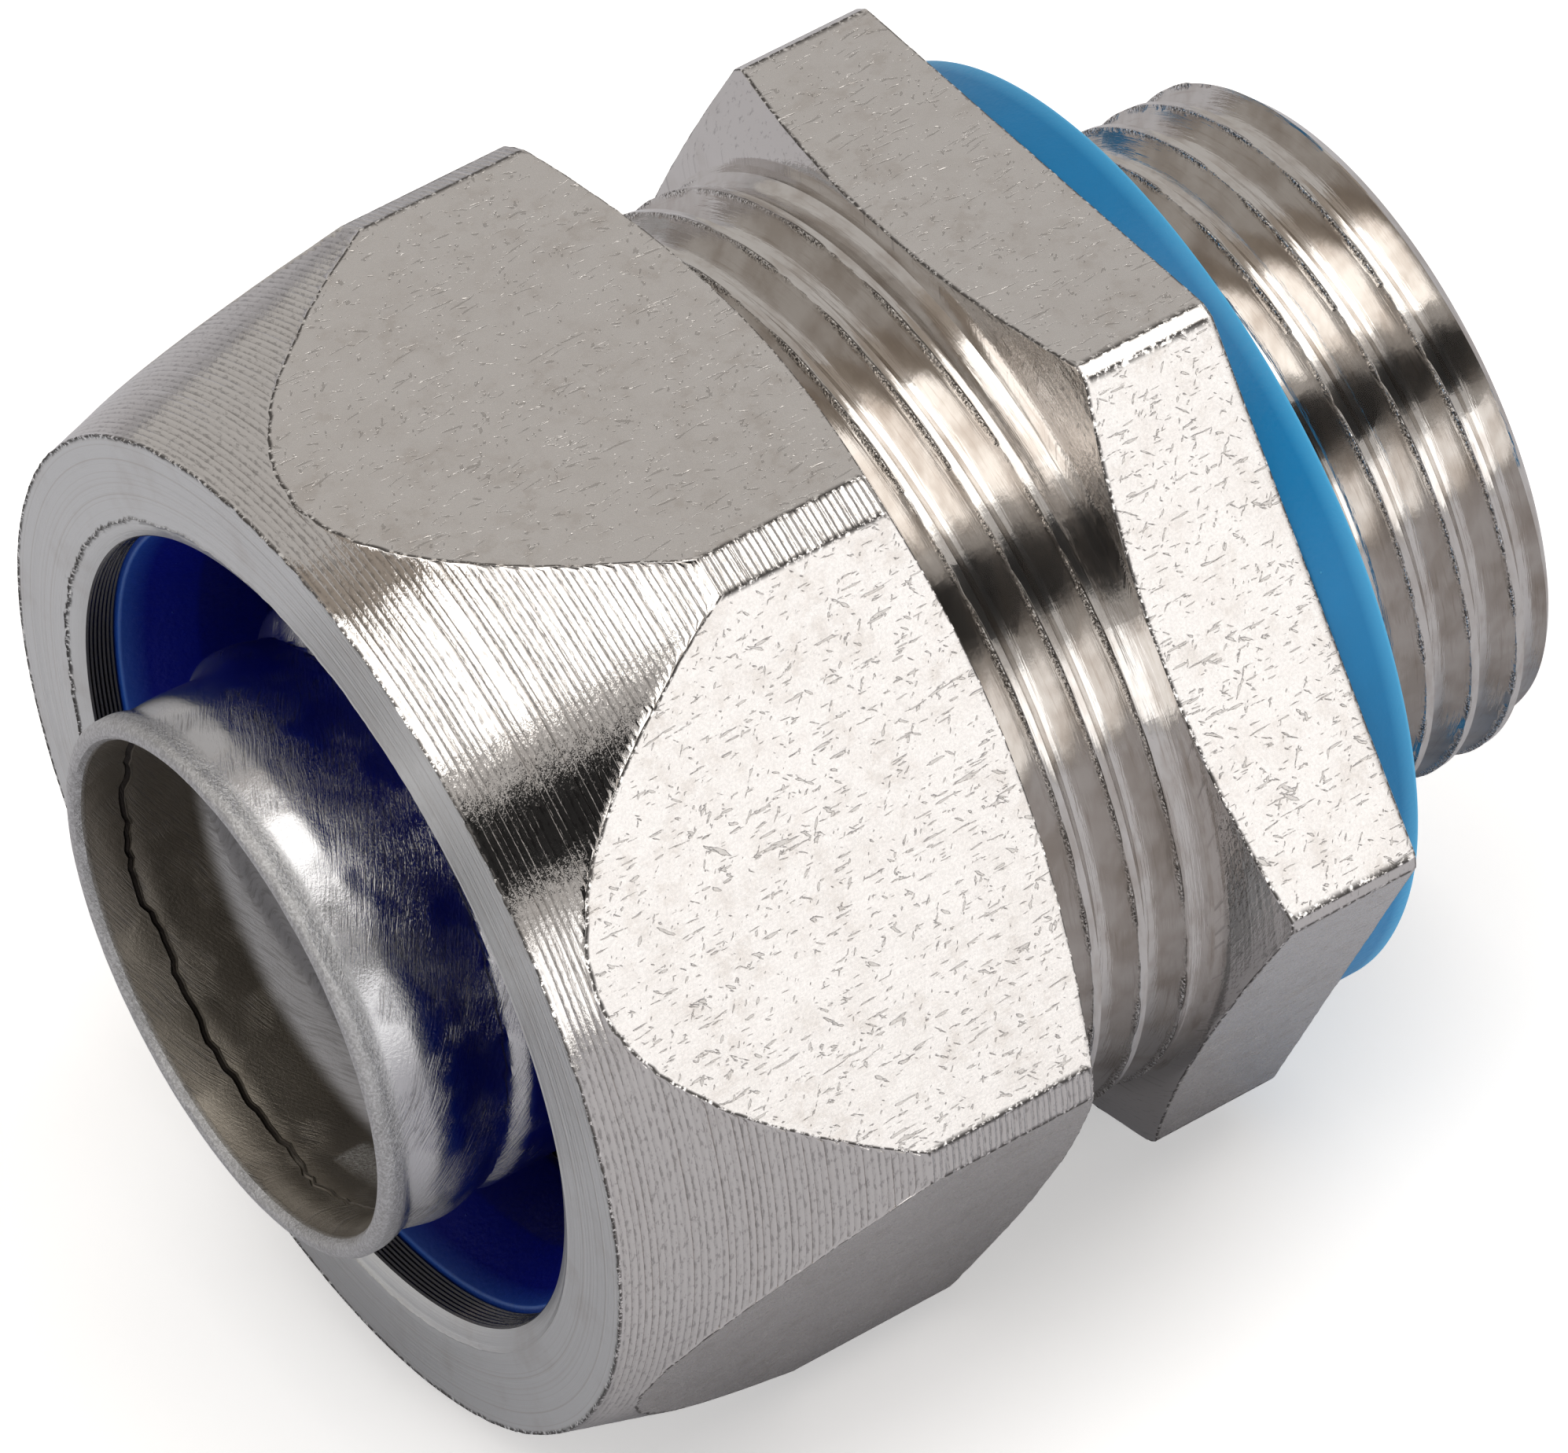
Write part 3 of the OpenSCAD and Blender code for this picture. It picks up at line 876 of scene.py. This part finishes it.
def ferrule_inside(s, phi):
    """The inner wall, which follows the rib, up to the ragged seam where the lip was rolled in."""
    seam = -1.55 + ripple(s.n, 51, 40, 0.16) + ripple(s.n, 52, 150, 0.07)
    bare = smoothstep(150, 215, phi) * (1 - smoothstep(330, 358, phi))
    groove = rib_groove(rib_turn(phi))
    s.zone = INNER
    for x in np.concatenate([np.arange(12.2, 4.6, -0.25), np.arange(4.6, -0.75, -0.1)]):
        outer = ferrule_outside(np.clip(x, -1.9, 10.9) * np.ones(s.n), phi)
        # the flank before each groove faces the mouth and the light: its edge value frosts it, and the
        # paler frosted colour there is partly painted light
        flank = smoothstep(groove - 1.3, groove - 0.6, x)
        flank = flank * (1 - smoothstep(groove - 0.1, groove + 0.2, x))
        s.row(NUT_FACE + x, np.maximum(outer - WALL, FERRULE_BORE - 0.04), 0.9 * flank)
    for t in np.linspace(0, 1, 4):
        at = -0.8 + (seam + 0.12 + 0.8) * t
        s.row(NUT_FACE + at, np.maximum(ferrule_outside(at, phi) - WALL, FERRULE_BORE - 0.02))
    # the crack is open where bare is 1, and the wall steps outwards there; its dark, from a negative edge
    # value, is painted shade
    step = 0.14 * bare
    s.row(NUT_FACE + seam + 0.05, FERRULE_BORE - 0.01, 0.1)
    s.row(NUT_FACE + seam + 0.03, FERRULE_BORE + 0.06, -bare)
    s.row(NUT_FACE + seam - 0.03, FERRULE_BORE + 0.06 + 0.12 * bare, -bare)
    s.row(NUT_FACE + seam - 0.07, FERRULE_BORE + step, 0.1)
    for t in np.linspace(0.1, 1, 5):
        at = seam - 0.09 + (-2.6 - seam + 0.09) * t
        s.row(NUT_FACE + at, FERRULE_BORE + step + (0.28 - step) * t ** 2)


def make_ferrule():
    n = 300
    angles = np.arange(n) * TURN / n
    phi = np.degrees(angles)
    s = Skin(angles)
    rim = ripple(n, 41, 60, 0.012) + ripple(n, 42, 300, 0.006)
    wobble = ripple(n, 43, 24, 0.012)
    ferrule_lip(s, rim)
    for x in np.concatenate([np.arange(-2.62, 4.6, 0.09), np.arange(4.6, 11.4, 0.2)]):
        frost = float(1 - smoothstep(-2.45, -2.1, np.array(x)))
        s.row(NUT_FACE + x, ferrule_outside(x * np.ones(n), phi) + wobble, frost)
    ferrule_flange(s)
    ferrule_inside(s, phi)
    s.zone = OUTER
    s.row(TIP + 0.22, 7.31 + rim, 0.9)
    looks = [zinc_steel("zinc_outside"), zinc_steel("zinc_inside", inside=True)]
    return s.build("ferrule_skin", looks, bend=lean)


# ---------------------------------------------------------------- ring and gasket


def turned_ring(name, corners, material, pale, round_by=0.1, wave=0.0):
    """A ring turned from a list of [x, radius] corners, each one rounded, in millimetres.
    The rounding of the corner with the number pale is painted paler, as a highlight."""
    count, step = 360, 0.3
    s = Skin(np.arange(count) * TURN / count)
    wander = ripple(count, 11, 18, wave)
    m = len(corners)
    for i in range(m):
        before, here, after = (np.array(corners[(i + j) % m], float) for j in (-1, 0, 1))
        a, b = before - here, after - here
        la, lb = np.linalg.norm(a), np.linalg.norm(b)
        size = min(round_by, la / 2.2, lb / 2.2)
        p, q = here + a / la * size, here + b / lb * size
        for t in (0, 0.25, 0.5, 0.75, 1):
            c = (1 - t) ** 2 * p + 2 * t * (1 - t) * here + t * t * q
            # painted highlight along the middle of that corner's rounding
            edge = 1 - abs(t - 0.5) if i == pale else 0.0
            s.row(c[0] + wander * 0.5, c[1] + wander, edge)
        gap = lb - 2 * size
        for t in np.linspace(0, 1, max(2, int(gap / step)))[1:-1]:
            c = q + (after - b / lb * size - q) * t
            s.row(c[0] + wander * 0.5, c[1] + wander)
    return s.build(name, [material])


def make_ring():
    bore, outer, tail_r, taper_start = 10.9, 12.52, 11.7, -20.4
    corners = [
        [RING_FRONT, bore + 0.55], [RING_FRONT, outer - 0.15], [RING_FRONT + 0.2, outer],
        [taper_start, outer], [RING_TAIL, tail_r], [RING_TAIL, bore + 0.15], [RING_TAIL - 0.3, bore],
        [RING_FRONT + 2.2, bore], [RING_FRONT + 0.9, bore + 0.35],
    ]
    look = moulded("navy_moulded", (0.001, 0.006, 0.22), (0.02, 0.10, 0.40), 0.34, 0.25)
    return turned_ring("ring_skin", corners, look, pale=0)


def make_gasket():
    inner, outer = 10.0, 13.8
    corners = [[GASKET_FRONT, inner], [GASKET_FRONT, outer], [GASKET_BACK, outer], [GASKET_BACK, inner]]
    look = moulded("blue_moulded", (0.004, 0.165, 0.38), (0.08, 0.42, 0.72), 0.4, 0.3)
    return turned_ring("gasket_skin", corners, look, pale=2, round_by=0.14, wave=0.03)


pieces = [
    (make_body(), "body", "gland_body", "nickel_plate"),
    (make_nut(), "nut", "compression_nut", "nickel_plate_nut"),
    (make_ring(), "ring", "clamping_ring", "navy_plastic"),
    (make_ferrule(), "ferrule_tube", "ferrule", "zinc_steel"),
    (make_gasket(), "body", "flat_gasket", "blue_rubber"),
]
for piece, body, node, slot in pieces:
    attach(piece, body)
    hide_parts(node)


# ---------------------------------------------------------------- studio

# the gland lies on the lowest edge of its nut, which is turned a little off its flat
FLOOR_Z = -NUT_CORNER * math.cos(math.acos(NUT_HALF / NUT_CORNER) - NUT_TURN)


def plate(name, corners, material, shown=True):
    mesh = bpy.data.meshes.new(name)
    mesh.from_pydata([tuple(c * MM for c in corner) for corner in corners], [], [(0, 1, 2, 3)])
    mesh.materials.append(material)
    made = bpy.data.objects.new(name, mesh)
    bpy.context.scene.collection.objects.link(made)
    made.visible_camera = shown
    return made


def plain(name, colour, rough):
    look = Look(name)
    look.finish(colour, rough, 0.0)
    return look.mat


def level_corners(z, half=4000):
    return [(-half, -half, z), (half, -half, z), (half, half, z), (-half, half, z)]


def arc_card(name, low, high, colour):
    """A card along X, seen from the origin between two angles from straight up towards the front."""
    distance, half_length = 520, 900
    near, far = [(-distance * math.sin(t), distance * math.cos(t)) for t in map(math.radians, (low, high))]
    corners = [(-half_length, *near), (half_length, *near), (half_length, *far), (-half_length, *far)]
    return plate(name, corners, plain(name, colour, 0.9), shown=False)


def lamp(name, angle, width, radiance, colour=(1, 1, 1)):
    """A soft lamp along X that shines at the origin, at an angle from straight up towards the front."""
    distance, length = 500, 900
    data = bpy.data.lights.new(name, "AREA")
    data.shape = "RECTANGLE"
    data.size, data.size_y = length * MM, width * MM
    data.energy = radiance * math.pi * data.size * data.size_y
    data.color = colour
    made = bpy.data.objects.new(name, data)
    bpy.context.scene.collection.objects.link(made)
    t = math.radians(angle)
    place = Vector((0, -distance * math.sin(t), distance * math.cos(t))) * MM
    made.location = place
    made.rotation_euler = (-place).to_track_quat("-Z", "Y").to_euler()
    made.visible_camera = False


# The camera sees a white floor. A grey one, 0.2 mm above it, shows only in the metal.
white = Look("pale_floor")
paper = white.bump(white.noise(white.p, 0.4), 0.02, 0.3)
white.finish((0.95, 0.95, 0.95), 0.75, 0.0, paper, Emission_Color=(1, 1, 1), Emission_Strength=0.36)
plate("floor", level_corners(FLOOR_Z - 0.2), white.mat).visible_glossy = False

grey = plain("grey_floor", (0.60, 0.605, 0.65), 0.8)
mirrored = plate("floor_in_metal", level_corners(FLOOR_Z), grey, shown=False)
mirrored.visible_diffuse = False
mirrored.visible_shadow = False

arc_card("black_card", 35, 56, (0.01, 0.01, 0.01))
arc_card("brown_card", -27, -11, (0.34, 0.30, 0.26))
lamp("overhead", 8, 330, 1.9, (1, 0.98, 0.95))
lamp("front", 76, 200, 1.15)

world = bpy.data.worlds.new("studio")
world.use_nodes = True
world.node_tree.nodes["Background"].inputs[0].default_value = (0.58, 0.56, 0.54, 1)
world.node_tree.nodes["Background"].inputs[1].default_value = 1.0
bpy.context.scene.world = world
bpy.context.scene.view_settings.view_transform = "Standard"

# the camera's place and directions, in the CAD frame and in millimetres
camera_at = Vector((-136.86, -225.53, 233.29))
forward = Vector((0.36455, 0.64569, -0.67096)).normalized()
image_up = Vector((0.42748, 0.52408, 0.73661)).normalized()
side = forward.cross(image_up).normalized()
image_up = side.cross(forward)
camera = bpy.data.cameras.new("camera")
camera.sensor_width = 36
camera.lens = 297.8
camera.clip_end = 20
camera_object = bpy.data.objects.new("camera", camera)
bpy.context.scene.collection.objects.link(camera_object)
turn = Matrix((side, image_up, -forward)).transposed().to_4x4()
camera_object.matrix_world = Matrix.Translation(camera_at * MM) @ turn
bpy.context.scene.camera = camera_object

bpy.context.view_layer.update()
